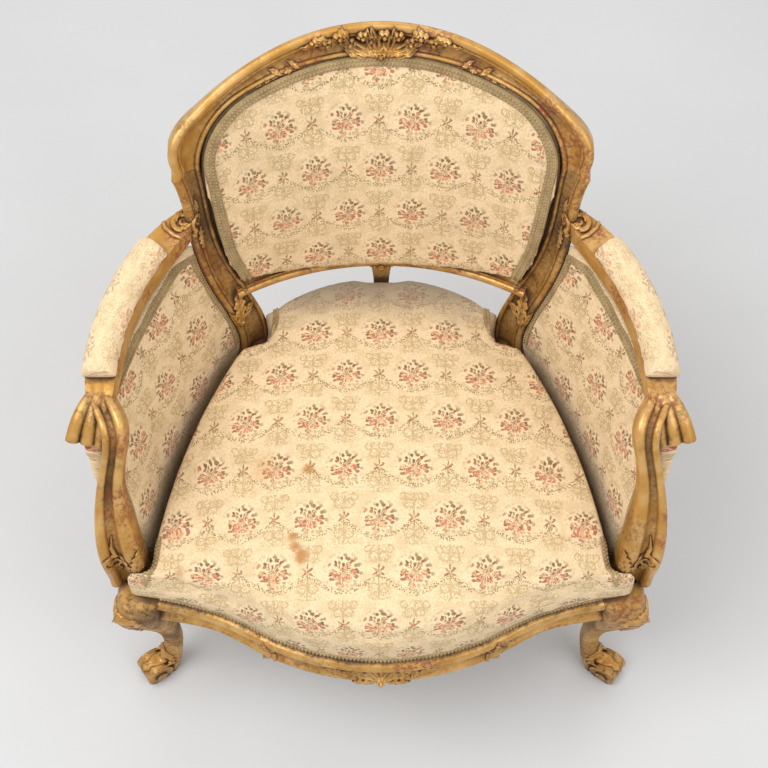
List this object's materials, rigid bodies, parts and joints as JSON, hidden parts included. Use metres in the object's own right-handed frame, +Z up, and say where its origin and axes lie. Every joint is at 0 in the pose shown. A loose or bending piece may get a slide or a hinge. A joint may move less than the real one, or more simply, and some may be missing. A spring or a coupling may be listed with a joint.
{
  "type": "upholstered armchair",
  "caption": "Low rococo bergere armchair with a carved gilt wood frame, serpentine front, scrolled legs and closed floral-covered arms, seat and curved back.",
  "frame": {"origin": "middle of the footprint's bounding box, on the floor", "axes": "+X to the right of someone facing the chair's front, +Y to the rear, +Z up; the sitter faces -Y"},
  "size_m": [0.785, 0.6822, 0.8115],
  "materials": {
    "gilt_wood": "worn gilding with brown patina",
    "plain_wood": "plain beech",
    "floral_cover": "woven floral cotton",
    "gimp": "woven braid",
    "stuffing": "hair stuffing",
    "hessian": "coarse jute",
    "webbing": "woven jute strap"
  },
  "bodies": {
    "root": {"arm_left": "gilt_wood", "arm_pad_cover_left": "floral_cover", "arm_pad_cover_right": "floral_cover", "arm_pad_stuffing_left": "stuffing", "arm_pad_stuffing_right": "stuffing", "arm_post_left": "gilt_wood", "arm_post_right": "gilt_wood", "arm_right": "gilt_wood", "back_cover": "floral_cover", "back_gimp": "gimp", "back_hessian": "hessian", "back_strut": "gilt_wood", "back_stuffing": "stuffing", "back_webbing": "webbing", "corner_blocks": "plain_wood", "crest_rail": "gilt_wood", "frame_dowels": "plain_wood", "front_leg_left": "gilt_wood", "front_leg_right": "gilt_wood", "front_seat_rail": "gilt_wood", "lower_back_rail": "gilt_wood", "outer_back_cover": "floral_cover", "outer_back_gimp": "gimp", "outer_side_cover_left": "floral_cover", "outer_side_cover_right": "floral_cover", "rear_leg_left": "gilt_wood", "rear_leg_right": "gilt_wood", "rear_seat_rail": "plain_wood", "seat_cover": "floral_cover", "seat_gimp": "gimp", "seat_stuffing": "stuffing", "seat_webbing": "webbing", "side_cover_left": "floral_cover", "side_cover_right": "floral_cover", "side_gimp_left": "gimp", "side_gimp_right": "gimp", "side_seat_rail_left": "gilt_wood", "side_seat_rail_right": "gilt_wood", "side_stuffing_left": "stuffing", "side_stuffing_right": "stuffing", "spring_hessian": "hessian"}
  },
  "joints": []
}
